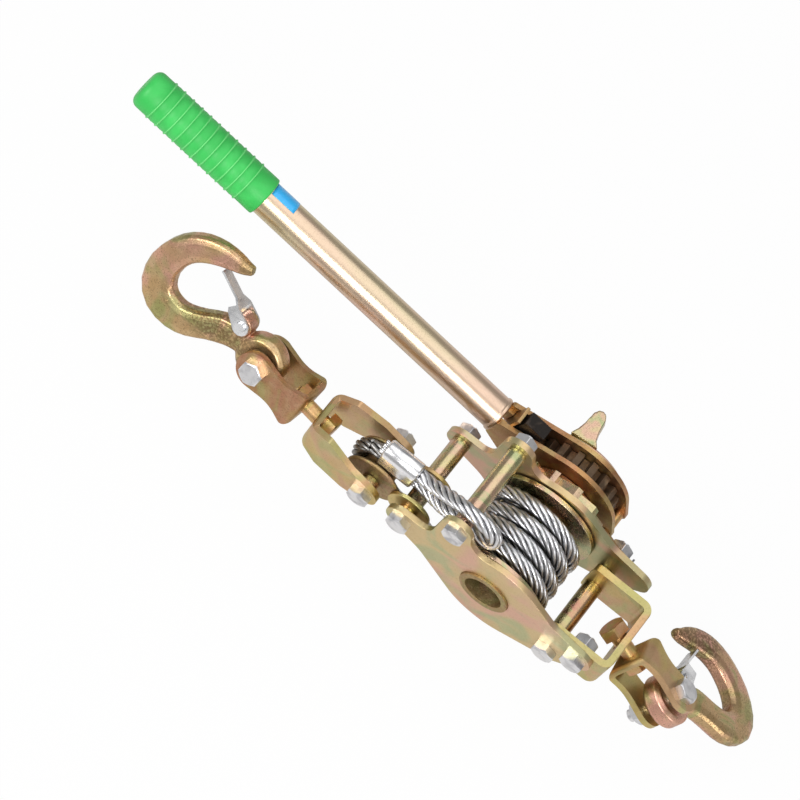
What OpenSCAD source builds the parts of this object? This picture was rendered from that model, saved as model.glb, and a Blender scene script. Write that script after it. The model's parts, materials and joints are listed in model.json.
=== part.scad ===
// Hand ratchet cable puller (come along winch), double-line pattern.
// X runs along the pull line, Y along the drum axis (handle side at +Y), Z up.
// The origin is the middle of the drum's axis. All sizes are millimetres.

/* [Side plates] */
// Inside distance between the two side plates
plate_gap = 59; // [56:0.5:64]
// Thickness of a side plate
plate_t = 4; // [3:0.5:5]
// Radius of a plate's rim round a bolt
ear_r = 10.5; // [9:0.5:12]
// Radius of the plate's belly round the drum axle
hub_r = 39.5; // [38:0.5:42]
// Lower front bolt, along the pull line
low_bolt_x = -65; // [-68:0.5:-62]
// Lower front bolt, height
low_bolt_z = 5; // [3:0.5:8]
// Upper front bolt, along the pull line
top_bolt_x = -36; // [-38:0.5:-33]
// Upper front bolt, height
top_bolt_z = 45; // [44:0.5:48]
// Pawl bolt, along the pull line
pawl_bolt_x = 50; // [49:0.5:53]
// Pawl bolt, height
pawl_bolt_z = -9; // [-11:0.5:-7]
// Rear bracket bolt, along the pull line
rear_bolt_x = 66; // [64:0.5:68]
// Rear bracket bolt, height
rear_bolt_z = 6; // [4:0.5:8]

/* [Bolts] */
// Shank diameter of every hexagon bolt
bolt_d = 8; // [7:0.5:8.5]
// Width across flats of heads and nuts
hex_af = 14; // [13:0.5:15]
// Height of a bolt head
head_h = 5.3; // [4.5:0.1:6]
// Height of a nut
nut_h = 6.5; // [5.5:0.1:7]
// Outer diameter of a spacer tube
spacer_d = 12; // [11.5:0.5:13]
// Radial clearance of a bolt in a plate or spacer
bolt_gap = 0.25; // [0.2:0.05:0.5]
// Radial clearance of a nut on its bolt and of a shaft in its bearing
run_gap = 0.06; // [0.03:0.01:0.1]
// Clearance between pieces that move past each other
side_gap = 0.3; // [0.3:0.05:0.5]

/* [Drum] */
// Outer diameter of the hollow axle tube
axle_d = 34; // [32:0.5:35]
// Bore of the hollow axle tube
axle_bore = 25.6; // [22:0.2:27]
// Diameter of the drum flanges
flange_d = 73; // [72.5:0.5:76]
// Thickness of a drum flange
flange_t = 3; // [2:0.5:3.5]
// How far the axle tube stands out of the near plate
axle_lip = 1.5; // [1:0.5:3]

/* [Ratchets] */
// Teeth on the holding ratchet
hold_teeth = 12; // [12:12:12]
// Tip diameter of the holding ratchet
hold_d = 66; // [64:1:67]
// Depth of a holding ratchet tooth
hold_depth = 5.5; // [4:0.5:6]
// Width of the holding ratchet
hold_w = 9.5; // [8:0.5:10]
// Teeth on the drive ratchet
drive_teeth = 18; // [18:18:18]
// Tip diameter of the drive ratchet
drive_d = 63; // [60:1:64]
// Depth of a drive ratchet tooth
drive_depth = 5; // [4:0.5:5.5]

/* [Handle] */
// Height of the handle's swing plane from the middle of the drum
handle_y = 57; // [57:0.5:60]
// Angle of the handle above the pull line at rest
handle_angle = 10; // [0:1:20]
// Distance between the outer faces of the two yoke plates
yoke_w = 18; // [18:0.5:19]
// Thickness of a yoke plate
yoke_t = 3; // [2.5:0.25:3]
// Outer diameter of the handle tube
tube_d = 22.2; // [22:0.2:25]
// Wall of the handle tube
tube_wall = 2; // [1.5:0.25:2]
// Distance from the drum axis to the tube's near end
tube_start = 58; // [57:0.5:62]
// Distance from the drum axis to the grip's closed end
grip_end = 347; // [300:1:380]
// Length of the rubber grip
grip_len = 97; // [80:1:120]
// Outer diameter of the grip between its ribs
grip_d = 26; // [25:0.5:29]
// Number of raised rings on the grip
grip_ribs = 11; // [6:1:14]
// Diameter of the hand disc on the axle's end
disc_d = 58; // [54:1:60]
// Thickness of the hand disc
disc_t = 5; // [4:0.5:6]
// Height of the finger lug above the disc
lug_h = 23; // [16:1:26]

/* [Rope] */
// Diameter of the wire rope
rope_d = 9.3; // [8:0.1:9.5]
// Radius from the drum axis to the middle of the rope's outer layer
wind_r = 30; // [29:0.5:31]
// Turns of rope in the outer layer
wind_turns = 4; // [3:1:4]
// Distance from one turn to the next
wind_pitch = 10.2; // [10:0.1:10.2]
// Width of the oval ferrule
ferrule_w = 13.6; // [13:0.2:14]
// Length of the ferrule
ferrule_len = 25; // [22:1:30]

/* [Rope block] */
// Sheave bolt, along the pull line
block_x = -93; // [-96:0.5:-93]
// Middle of the sheave along the drum axis
block_y = -13.5; // [-14:0.5:-13]
// Outside width of the block's strap
block_w = 40; // [38:0.5:42]
// Thickness of the block's strap
block_t = 4; // [3:0.5:4.5]
// Height of the block's strap
block_h = 38; // [34:1:39]
// Distance from the sheave bolt to the strap's closed end
block_len = 48; // [47:0.5:54]
// Diameter of the sheave's flanges
sheave_d = 38; // [36:0.5:39]
// Width of the sheave over its flanges
sheave_w = 19; // [17:0.5:19.5]

/* [Anchor bracket] */
// Outside width of the bracket between the plates
bracket_w = 51; // [48:0.5:53]
// Thickness of the bracket
bracket_t = 4.5; // [4:0.25:5]
// Height of the bracket
bracket_h = 33; // [30:1:34]
// Middle of the bracket's height
bracket_mid_z = -3; // [-4:0.5:-2]
// Closed end of the bracket, along the pull line
bracket_x = 86; // [86:0.5:92]

/* [Hooks] */
// Outside width of a hook clevis
clevis_w = 29; // [28:0.5:32]
// Thickness of a hook clevis
clevis_t = 4; // [3.5:0.25:4.5]
// Height of a hook clevis at its closed end
clevis_h = 26; // [24:1:28]
// Distance from a clevis's closed end to its bolt
clevis_len = 36; // [34:0.5:40]
// Diameter of a swivel bolt
swivel_d = 10; // [8:0.5:10]
// Forged thickness of a hook
hook_t = 13; // [11:0.5:14]
// Outer diameter of a hook's eye
eye_d = 33; // [30:0.5:34]
// Diameter of the hole in a hook's eye
eye_hole_d = 14; // [11:0.5:15]
// Thickness of a latch's sheet
latch_t = 1.5; // [1:0.25:2]
// Diameter of a latch's rivet
rivet_d = 4; // [3:0.5:5]

/* [Hidden] */
$fn = 48;
hex_r = hex_af / 2 / cos(30);
bolt_r = bolt_d / 2;
bolt_hole_r = bolt_r + bolt_gap;
bolt_tail = 1.6;
chamfer = 1.1;
axle_r = axle_d / 2;
rope_r = rope_d / 2;

// places along the drum axis
inner_y = plate_gap / 2;
outer_y = inner_y + plate_t;
flange_y = inner_y - 0.8;
hold_y0 = outer_y + side_gap;
hold_y1 = hold_y0 + hold_w;
yoke_y0 = handle_y - yoke_w / 2;
yoke_y1 = handle_y + yoke_w / 2;
drive_y0 = yoke_y0 + yoke_t + side_gap;
drive_y1 = yoke_y1 - yoke_t - side_gap;
disc_y0 = yoke_y1 + side_gap;
disc_y1 = disc_y0 + disc_t;

// bolt places in the XZ plane
low_bolt = [low_bolt_x, low_bolt_z];
top_bolt = [top_bolt_x, top_bolt_z];
pawl_bolt = [pawl_bolt_x, pawl_bolt_z];
rear_bolt = [rear_bolt_x, rear_bolt_z];

// rope guide ears on the lower front bolt
ear_t = 2.5;
ear_plate_r = 14.5;
guide_gap = sheave_w + 1;
near_ear_y = block_y - guide_gap / 2 - ear_t;
far_ear_y = block_y + guide_gap / 2;

// anchor bracket, seated on the near plate
bracket_y0 = -inner_y;
bracket_y1 = bracket_y0 + bracket_w;
bracket_mid = (bracket_y0 + bracket_y1) / 2;
bracket_bend_r = 7;

// swivels: distance from the clevis to the underside of the swivel bolt's head, width
// and height of the head, and distance from the closed end's middle to the clevis
swivel_reach = 14.8;
swivel_af = 16;
swivel_head_h = 7;
rope_swivel_gap = 11;
anchor_swivel_gap = 8.3;
// block strap: how much higher than its bolt it sits, bend radius, bend centres'
// distance from its middle, its two knees (distance from the closed end and from the
// full width), lobe radius, corner radius and cut-off corners
strap_rise = 2;
strap_bend_r = 6;
strap_bend_y = 9;
near_knee = [14, 9.3];
far_knee = [36, strap_bend_r];
strap_lobe_r = 10.5;
strap_corner_r = 3;
strap_cut = [15, 7.5];
// rest places of the rope-side hook set: the lean of its swivel in the loose hole,
// its turn about the swivel, and the hook's fold about its bolt
rope_lean = -8;
rope_turn = -30;
rope_hook_fold = 5;
rope_seat = [block_x - block_len + block_t / 2, block_y, 0];
rope_clevis_at = rope_seat - rope_swivel_gap * [cos(rope_lean), sin(rope_lean), 0];
// the same for the anchor-side set, which hangs down in its loose hole
anchor_lean = -9;
anchor_drop = 19;
anchor_turn = 236;
anchor_hook_fold = 66;
anchor_seat = [bracket_x - bracket_t / 2, bracket_mid, 1];
anchor_out = [
    cos(anchor_drop) * cos(anchor_lean), cos(anchor_drop) * sin(anchor_lean), -sin(anchor_drop)
];
anchor_clevis_at = anchor_seat + anchor_swivel_gap * anchor_out;

// hook shape: middle line and width, from the hook bolt outwards
hook_line = [
    [14, -1], [23, -3.5], [31, -7], [40, -15.5], [49, -24], [58, -28.5], [69, -28.5], [78, -22],
    [83, -9.5], [82.3, 4.5], [78.5, 14.5], [72, 22.3], [63.5, 28.3], [55, 32], [49.5, 34], [44.5, 36.8]
];
hook_width = [16, 18, 20, 18.5, 20, 22, 23.5, 22.5, 20.5, 19, 18.5, 18, 16, 12.5, 9, 5.5];
hook_thick = [11, 11.5, 12.5, 13, 13, 13, 13, 13, 13, 12.5, 12, 11.5, 10.5, 9.5, 8.5, 6];
eye_shift = eye_hole_d / 2 - bolt_r - side_gap;
lug_half = 5.5;
latch_at = [25, 7.5];
latch_tip = [56, 21.5];
latch_len = norm(latch_tip - latch_at);
latch_dir = atan2(latch_tip[1] - latch_at[1], latch_tip[0] - latch_at[0]);
latch_eye_r = 5.5;
latch_tip_r = 0.9;

// sheave groove and the rope's way round it
groove_r = 11;
sheave_rope_r = groove_r + rope_r + 0.15;
// ferrule: two strands one above the other, resting between the sheave's rims
ferrule_x0 = block_x - 5;
ferrule_x1 = ferrule_x0 + ferrule_len;
live_z = 20.4;
dead_z = live_z + rope_d + 0.1;
wind_y0 = -wind_pitch * wind_turns / 2;

// pawls: rest turn away from the teeth, pawl thickness, drive pawl travel
hold_pawl_rest = 15;
hold_pawl_w = 8.5;
drive_pawl_w = 9;
drive_pawl_travel = 3.8;

// dead-end eye: out of the ferrule, over the upper spacer tube, round and back under it
eye_route = [
    [ferrule_x1 + 1.8, block_y, dead_z], [-67, -13.9, 30.6], [-61, -15.5, 34.5], [-52, -18.5, 44],
    [-43.5, -21.5, 52.8], [-36, -23, 56.2], [-27, -23.4, 56.4], [-19, -23.4, 53], [-15, -23.4, 47],
    [-16, -23.3, 40.8], [-21.5, -23, 36.2], [-29, -22.5, 33.6], [-37, -21.5, 32.8], [-45, -20, 29.2],
    [-53, -17.5, 24], [-61, -15, 21], [ferrule_x1 + 1.8, block_y, live_z]
];
// rope out of the ferrule's other end, down towards the sheave's front
top_route = [
    [ferrule_x0 - 0.4, block_y, live_z], [ferrule_x0 - 1.4, block_y, live_z],
    [ferrule_x0 - 3.2, block_y, live_z - 0.3], [ferrule_x0 - 5.2, block_y, live_z - 1.2],
    [ferrule_x0 - 6.2, block_y, live_z - 1.8]
];
// rope round the front of the sheave to its underside
bend_route = concat(
    [
        [ferrule_x0 - 6.6, block_y, live_z - 2.04], [ferrule_x0 - 7.6, block_y, live_z - 2.64],
        [ferrule_x0 - 10, block_y, live_z - 5.2], [ferrule_x0 - 11.8, block_y, live_z - 10],
        [block_x - sheave_rope_r - 0.8, block_y, 4.6]
    ],
    [for (a = [185:15:260]) [block_x + sheave_rope_r * cos(a), block_y, sheave_rope_r * sin(a)]],
    [[block_x - 0.3, block_y, -sheave_rope_r]]
);
// live rope from the sheave's underside to the drum's underside
live_route = [
    [block_x, block_y, -sheave_rope_r], [-80, -13.9, -16.8], [-62, -15.3, -20.2],
    [-43, -17.4, -24.4], [-26, -19.4, -28.4], [-15, wind_y0 + 0.2, -wind_r],
    [-rope_d - 0.3, wind_y0, -wind_r]
];

// ---------- outlines ----------

// an angle brought into one turn, with a hair below a full turn counted as none
function one_turn(a) = let (m = a - 360 * floor(a / 360)) m > 359.9 ? 0 : m;

// direction of the straight run that touches two discs, each [centre, signed radius]
function run_dir(a, b) = let (d = b[0] - a[0])
    atan2(d[1], d[0]) + asin((a[1] - b[1]) / norm(d));

// closed outline that runs round a list of discs; a negative radius hollows the outline
function belt(discs, step = 5) = [
    for (i = [0 : len(discs) - 1])
        let (
            c = discs[i],
            d_in = run_dir(discs[(i + len(discs) - 1) % len(discs)], c),
            d_out = run_dir(c, discs[(i + 1) % len(discs)]),
            turn = c[1] > 0 ? one_turn(d_out - d_in) : -one_turn(d_in - d_out),
            n = max(1, ceil(abs(turn) / step))
        )
        for (j = [0 : n]) let (a = d_in + turn * j / n) c[0] + c[1] * [sin(a), -cos(a)]
];

// extrudes a drawing made in the XZ plane from y0 to y1
module slab(y0, y1) {
    translate([0, y1, 0])
        rotate([90, 0, 0])
            linear_extrude(height = y1 - y0)
                children();
}

// cylinder along Y at a place in the XZ plane
module rod(at, r, y0, y1, fn = 48) {
    translate([at[0], y1, at[1]])
        rotate([90, 0, 0])
            cylinder(r = r, h = y1 - y0, $fn = fn);
}

// round tube along Y
module tube(at, r, bore, y0, y1) {
    difference() {
        rod(at, r, y0, y1);
        rod(at, bore, y0 - 1, y1 + 1);
    }
}

// ---------- fasteners, drawn along Z ----------

// hexagon with its outer corners turned off; base at z = 0
module hex_body(af, h) {
    corner = af / 2 / cos(30) + 0.1;
    flat = af / 2 * 0.93;
    intersection() {
        rotate(30)
            cylinder(r = af / 2 / cos(30), h = h, $fn = 6);
        rotate_extrude()
            polygon([[0, 0], [corner, 0], [corner, h - chamfer], [flat, h], [0, h]]);
    }
}

// bolt with its head below z = 0 and its shank above
module hex_bolt(len, d = bolt_d, af = hex_af, h = head_h) {
    mirror([0, 0, 1])
        hex_body(af, h);
    translate([0, 0, -0.5])
        cylinder(r = d / 2, h = len + 0.5);
}

module hex_nut(d = bolt_d, af = hex_af, h = nut_h) {
    difference() {
        hex_body(af, h);
        translate([0, 0, -1])
            cylinder(r = d / 2 + run_gap, h = h + 2);
    }
}

// places children drawn along Z so that they run along +Y from y at a place in XZ
module along_y(at, y) {
    translate([at[0], y, at[1]])
        rotate([-90, 0, 0])
            children();
}

// ---------- swept tubes ----------

function unit(v) = v / norm(v);
function heading(p, i) = unit(p[min(i + 1, len(p) - 1)] - p[max(i - 1, 0)]);

// smooth curve through the points of a route, n steps to each span
function smooth(p, n) = [
    for (i = [0 : len(p) - 2])
        let (
            a = i > 0 ? p[i - 1] : 2 * p[0] - p[1],
            b = p[i],
            c = p[i + 1],
            d = i < len(p) - 2 ? p[i + 2] : 2 * p[len(p) - 1] - p[len(p) - 2]
        )
        for (j = [0 : n - (i < len(p) - 2 ? 1 : 0)])
            let (t = j / n)
            0.5 * (2 * b + (c - a) * t + (2 * a - 5 * b + 4 * c - d) * t * t
                + (3 * b - a - 3 * c + d) * t * t * t)
];

// side vectors carried along the route without twist
function carried(p, side) = [
    for (i = 0, s = unit(side - (side * heading(p, 0)) * heading(p, 0)); i < len(p);
        i = i + 1, s = i < len(p) ? unit(s - (s * heading(p, i)) * heading(p, i)) : s) s
];

// closed skin over rings of equal length
module skin(rings) {
    n = len(rings);
    m = len(rings[0]);
    points = [for (r = rings) for (q = r) q];
    walls = [
        for (i = [0 : n - 2])
            for (j = [0 : m - 1])
                let (a = i * m + j, b = i * m + (j + 1) % m)
                each [[a, b + m, b], [a, a + m, b + m]]
    ];
    near_cap = [for (j = [1 : m - 2]) [0, j, j + 1]];
    far_cap = [for (j = [1 : m - 2]) [(n - 1) * m, (n - 1) * m + j + 1, (n - 1) * m + j]];
    polyhedron(points = points, faces = concat(walls, near_cap, far_cap), convexity = 6);
}

// tube of radius r along a list of points
module sweep(p, r, sides, side = [0, 0, 1]) {
    s = carried(p, side);
    skin([
        for (i = [0 : len(p) - 1])
            let (u = s[i], v = cross(heading(p, i), u))
            [for (k = [0 : sides - 1]) let (a = 360 * k / sides) p[i] + r * (cos(a) * u + sin(a) * v)]
    ]);
}

// ---------- frame ----------

plate_outline = belt([
    [rear_bolt, ear_r],
    [[rear_bolt_x - 14, rear_bolt_z + 34], -20],
    [[5, 0], hub_r],
    [top_bolt + [22.3, 3], -12],
    [top_bolt, ear_r],
    [[low_bolt_x + 10, low_bolt_z + 19], -8],
    [low_bolt, ear_r],
    [[low_bolt_x + 7, low_bolt_z - 43], -28],
    [[5, 0], hub_r],
    [pawl_bolt, ear_r + 1.5]
]);

module side_plate(y0, bolts) {
    difference() {
        slab(y0, y0 + plate_t)
            polygon(plate_outline);
        for (at = bolts)
            rod(at, bolt_hole_r, y0 - 1, y0 + plate_t + 1);
        rod([0, 0], axle_r + run_gap, y0 - 1, y0 + plate_t + 1, 96);
    }
}

module near_plate() {
    color("goldenrod")
        side_plate(-outer_y, [low_bolt, top_bolt, pawl_bolt, rear_bolt]);
}

module far_plate() {
    color("goldenrod")
        side_plate(inner_y, [low_bolt, top_bolt, pawl_bolt]);
}

module upper_spacer_tube() {
    color("darkkhaki")
        tube(top_bolt, spacer_d / 2, bolt_hole_r, -inner_y, inner_y);
}

module lower_spacer_tube() {
    color("darkkhaki")
        tube(low_bolt, spacer_d / 2, bolt_hole_r, far_ear_y + ear_t, inner_y);
}

module guide_spacers() {
    color("darkkhaki") {
        tube(low_bolt, spacer_d / 2, bolt_hole_r, -inner_y, near_ear_y);
        tube(low_bolt, spacer_d / 2, bolt_hole_r, near_ear_y + ear_t, far_ear_y);
    }
}

module guide_ear(y0) {
    difference() {
        slab(y0, y0 + ear_t)
            polygon(belt([[low_bolt, ear_plate_r], [low_bolt + [1, -5], ear_plate_r - 3]]));
        rod(low_bolt, bolt_hole_r, y0 - 1, y0 + ear_t + 1);
    }
}

module near_guide_ear() {
    color("goldenrod")
        guide_ear(near_ear_y);
}

module far_guide_ear() {
    color("goldenrod")
        guide_ear(far_ear_y);
}

module pawl_spacer_tube() {
    color("darkkhaki")
        tube(pawl_bolt, spacer_d / 2, bolt_hole_r, bracket_y0 + bracket_t, bracket_y1 - bracket_t);
}

module bracket_spacer() {
    color("darkkhaki")
        tube(pawl_bolt, spacer_d / 2, bolt_hole_r, bracket_y1, inner_y);
}

// U strip in plan: open towards -X, its closed end's outer face at x = 0
module u_plan(len, w, t, bend) {
    difference() {
        polygon(belt([
            [[-len, -w / 2 + 1], 1], [[-bend, -w / 2 + bend], bend],
            [[-bend, w / 2 - bend], bend], [[-len, w / 2 - 1], 1]
        ]));
        polygon(belt([
            [[-len - 5, -w / 2 + t + 1], 1], [[-bend, -w / 2 + bend], bend - t],
            [[-bend, w / 2 - bend], bend - t], [[-len - 5, w / 2 - t - 1], 1]
        ]));
    }
}

bracket_arm_x = pawl_bolt_x - 7;
bracket_low = bracket_mid_z - bracket_h / 2;
bracket_high = bracket_mid_z + bracket_h / 2;

module anchor_bracket() {
    color("goldenrod")
        difference() {
            intersection() {
                translate([bracket_x, bracket_mid, bracket_low - 1])
                    linear_extrude(height = bracket_h + 2)
                        u_plan(bracket_x - bracket_arm_x + 5, bracket_w, bracket_t, bracket_bend_r);
                slab(bracket_y0 - 1, bracket_y1 + 1)
                    polygon(belt([
                        [[bracket_x - 1, bracket_low + 3], 3],
                        [[bracket_x - 1, bracket_high - 3], 3],
                        [[bracket_arm_x + 4, bracket_high - 4], 4],
                        [[bracket_arm_x + 4, bracket_low + 4], 4]
                    ]));
            }
            rod(pawl_bolt, bolt_hole_r, bracket_y0 - 2, bracket_y1 + 2);
            rod(rear_bolt, bolt_hole_r, bracket_y0 - 2, bracket_mid);
            translate([bracket_x - bracket_t - 2, bracket_mid, anchor_seat[2]])
                rotate([0, 90, 0])
                    cylinder(r = swivel_d / 2 + 1.8, h = bracket_t + 4);
        }
}

module frame_bolts() {
    color("silver") {
        for (at = [low_bolt, top_bolt])
            along_y(at, -outer_y)
                hex_bolt(2 * outer_y + nut_h + bolt_tail);
        along_y(pawl_bolt, -outer_y)
            hex_bolt(2 * outer_y + hold_pawl_w + 2 * side_gap + nut_h + bolt_tail);
    }
}

module bracket_bolt() {
    color("silver")
        along_y(rear_bolt, -outer_y)
            hex_bolt(plate_t + bracket_t + nut_h + bolt_tail);
}

module frame_nuts() {
    color("silver") {
        for (at = [low_bolt, top_bolt])
            along_y(at, outer_y)
                hex_nut();
        along_y(pawl_bolt, outer_y + hold_pawl_w + 2 * side_gap)
            hex_nut();
        along_y(rear_bolt, bracket_y0 + bracket_t)
            hex_nut();
    }
}

// ---------- drum ----------

module drum_axle() {
    color("goldenrod")
        difference() {
            rod([0, 0], axle_r, -outer_y - axle_lip, disc_y0, 96);
            rod([0, 0], axle_bore / 2, -outer_y - axle_lip - 1, disc_y0 + 1, 96);
        }
}

module drum_flange(y0) {
    difference() {
        rod([0, 0], flange_d / 2, y0, y0 + flange_t, 96);
        rod([0, 0], axle_r, y0 - 1, y0 + flange_t + 1, 96);
    }
}

module near_drum_flange() {
    color("goldenrod")
        drum_flange(-flange_y);
}

module far_drum_flange() {
    color("goldenrod")
        drum_flange(flange_y - flange_t);
}

module rope_core() {
    color("lightsteelblue")
        tube([0, 0], wind_r - rope_r - 0.1, axle_r, -flange_y + flange_t, flange_y - flange_t);
}

// rope's outer layer: one helix with a short straight run at each end
wind_steps = 24;
function wind_point(a) = [
    wind_r * cos(a - 90), wind_y0 + wind_pitch * a / 360, wind_r * sin(a - 90)
];
wind_end = wind_point(360 * wind_turns);
wind_route = concat(
    [wind_point(0) + [-rope_d, 0, 0]],
    [for (i = [0 : wind_steps * wind_turns]) wind_point(360 * i / wind_steps)],
    [wind_end + [rope_d, 0, 0]]
);
wind_self_gap = min([
    for (i = [0 : wind_steps])
        for (j = [i + wind_steps - 3 : i + wind_steps + 3])
            norm(wind_point(360 * i / wind_steps) - wind_point(360 * j / wind_steps))
]) - rope_d;
echo(rope_winding_gap_to_itself = wind_self_gap);

module rope_winding() {
    color("silver")
        sweep(wind_route, rope_r, 6);
}

// saw-toothed wheel: each tooth rises steeply and slopes back to the next root
module holding_ratchet() {
    tip = hold_d / 2;
    root = tip - hold_depth;
    pitch = 360 / hold_teeth;
    first = 12.6;
    color("goldenrod")
        difference() {
            slab(hold_y0, hold_y1)
                polygon([
                    for (i = [0 : hold_teeth - 1])
                        let (a = first + i * pitch)
                        each [
                            root * [cos(a), sin(a)],
                            tip * [cos(a + 1.5), sin(a + 1.5)],
                            tip * [cos(a + 8), sin(a + 8)]
                        ]
                ]);
            rod([0, 0], axle_r, hold_y0 - 1, hold_y1 + 1, 96);
        }
}

module thrust_washer() {
    color("goldenrod")
        tube([0, 0], axle_r + 5, axle_r, hold_y1, yoke_y0 - side_gap);
}

// drive wheel: square-shouldered teeth
module drive_ratchet() {
    tip = drive_d / 2;
    root = tip - drive_depth;
    pitch = 360 / drive_teeth;
    color("darkgoldenrod")
        rotate([0, handle_angle, 0])
            difference() {
                slab(drive_y0, drive_y1)
                    polygon([
                        for (i = [0 : drive_teeth - 1])
                            let (a = (i + 0.5) * pitch)
                            each [
                                root * [cos(a - 5.6), sin(a - 5.6)],
                                tip * [cos(a - 4), sin(a - 4)],
                                tip * [cos(a + 4), sin(a + 4)],
                                root * [cos(a + 5.6), sin(a + 5.6)]
                            ]
                    ]);
                rod([0, 0], axle_r, drive_y0 - 1, drive_y1 + 1, 96);
            }
}

module hand_disc() {
    color("goldenrod")
        translate([0, disc_y0, 0])
            rotate([-90, 0, 0])
                rotate_extrude($fn = 96)
                    polygon([
                        [0, 0], [disc_d / 2 - 1, 0], [disc_d / 2, 1], [disc_d / 2, disc_t - 1.5],
                        [disc_d / 2 - 1.5, disc_t], [0, disc_t]
                    ]);
}

// fin that a finger turns the drum by
module finger_lug() {
    color("goldenrod")
        translate([-4, 0, 20])
            rotate([0, -14, 0])
                linear_extrude(height = 8)
                    polygon([
                        [-13, disc_y1], [6, disc_y1], [2.2, disc_y1 + 5], [0.6, disc_y1 + 11],
                        [-0.4, disc_y1 + lug_h - 4], [-2.2, disc_y1 + lug_h - 1],
                        [-4.8, disc_y1 + lug_h], [-7.4, disc_y1 + lug_h - 1],
                        [-9, disc_y1 + lug_h - 4], [-9.6, disc_y1 + 11], [-10.8, disc_y1 + 5]
                    ]);
}

// ---------- handle, drawn along -X and raised by its angle ----------

module on_handle() {
    rotate([0, handle_angle, 0])
        children();
}

yoke_pin_r = 3.5;
yoke_pin_at = [drive_d / 2 + side_gap + yoke_pin_r + 0.7, 0];
yoke_r = drive_d / 2 + 5;
guide_pin_at = [-41.5, -9];
guide_pin_r = 2.5;
tongue_y = 6.5;
tongue_h = 6.2;
tongue_len = 20;

module yoke_plate(y0, tongue_y0, tongue_y1) {
    difference() {
        union() {
            slab(y0, y0 + yoke_t)
                polygon(belt([
                    [yoke_pin_at, 4.8],
                    [[0, 0], yoke_r],
                    [[-tube_start + 3, tube_d / 2 - 3], 3],
                    [[-tube_start + 3, -tube_d / 2 + 3], 3],
                    [[0, 0], yoke_r]
                ]));
            slab(tongue_y0, tongue_y1)
                polygon([
                    [-tube_start - tongue_len, -tongue_h], [-tube_start + 5, -tongue_h],
                    [-tube_start + 5, tongue_h], [-tube_start - tongue_len, tongue_h]
                ]);
        }
        rod([0, 0], axle_r + run_gap, y0 - 1, y0 + yoke_t + 1, 96);
        rod(yoke_pin_at, yoke_pin_r + run_gap, y0 - 1, y0 + yoke_t + 1);
        rod(guide_pin_at, guide_pin_r + run_gap, y0 - 1, y0 + yoke_t + 1);
    }
}

module inner_yoke_plate() {
    color("goldenrod")
        on_handle()
            yoke_plate(yoke_y0, handle_y - tongue_y, handle_y - tongue_y + 3.5);
}

module outer_yoke_plate() {
    color("goldenrod")
        on_handle()
            yoke_plate(yoke_y1 - yoke_t, handle_y + tongue_y - 3.5, handle_y + tongue_y);
}

// plain pin through the yoke plates on the side away from the handle
module yoke_end_pin() {
    color("goldenrod")
        on_handle()
            rod(yoke_pin_at, yoke_pin_r, yoke_y0 - 0.8, yoke_y1 + 0.2);
}

module pawl_guide_pin() {
    color("silver")
        on_handle()
            rod(guide_pin_at, guide_pin_r, yoke_y0 - 0.5, yoke_y1 + 0.2);
}

// sheet that closes the space behind the drive pawl
module pawl_stop_plate() {
    color("goldenrod")
        on_handle()
            slab(yoke_y0 + yoke_t, yoke_y1 - yoke_t)
                polygon([[-52.5, -11], [-50.5, -11], [-50.5, 24], [-52.5, 24]]);
}

module handle_tube() {
    bead = 0.8;
    tube_r = tube_d / 2;
    far_end = grip_end - 4;
    color("goldenrod")
        on_handle()
            translate([-tube_start, handle_y, 0])
                rotate([0, -90, 0])
                    rotate_extrude()
                        polygon([
                            [tube_r - tube_wall, 0], [tube_r, 0], [tube_r + bead, 0.8],
                            [tube_r + bead, 2.4], [tube_r, 3.4], [tube_r, far_end - tube_start],
                            [tube_r - tube_wall, far_end - tube_start]
                        ]);
}

// closed rubber sleeve with raised rings between a plain collar and a plain end
module grip() {
    grip_r = grip_d / 2;
    rib = 0.9;
    collar_len = 12;
    nose_len = 16;
    pitch = (grip_len - collar_len - nose_len) / grip_ribs;
    wall_r = tube_d / 2 + run_gap;
    depth = grip_len - 4 + run_gap;
    color("limegreen")
        on_handle()
            translate([-grip_end + grip_len, handle_y, 0])
                rotate([0, -90, 0])
                    rotate_extrude(convexity = 4)
                        polygon(concat(
                            [[wall_r, 0], [grip_r, 0], [grip_r + 0.6, 1.5], [grip_r + 0.6, 3], [grip_r, 4.5]],
                            [
                                for (i = [0 : grip_ribs - 1])
                                    let (z = collar_len + i * pitch)
                                    each [
                                        [grip_r, z], [grip_r + rib, z + 0.8],
                                        [grip_r + rib, z + 2.2], [grip_r, z + 3]
                                    ]
                            ],
                            [for (a = [0 : 15 : 75]) [grip_r - 5 + 5 * cos(a), grip_len - 5 + 5 * sin(a)]],
                            [[grip_r - 5, grip_len], [0, grip_len], [0, depth], [wall_r, depth]]
                        ));
}

// ---------- pawls ----------

// sliding block with one tooth, stored clear of the drive ratchet
module drive_pawl() {
    nose_x = -drive_d / 2 - 0.6;
    slot = guide_pin_r + 0.15;
    color("dimgray")
        on_handle()
            difference() {
                slab(handle_y - drive_pawl_w / 2, handle_y + drive_pawl_w / 2)
                    polygon([
                        [-48.5, -14], [-36.5, -14], [-36.5, -2.6], [nose_x, -1.3], [nose_x, 1.3],
                        [-36.5, 2.6], [-36.5, 16], [-33.5, 20], [-33.5, 27], [-48.5, 27]
                    ]);
                slab(handle_y - drive_pawl_w, handle_y + drive_pawl_w)
                    polygon(belt([
                        [guide_pin_at, slot],
                        [guide_pin_at - [drive_pawl_travel, 0], slot]
                    ]));
            }
}

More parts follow.
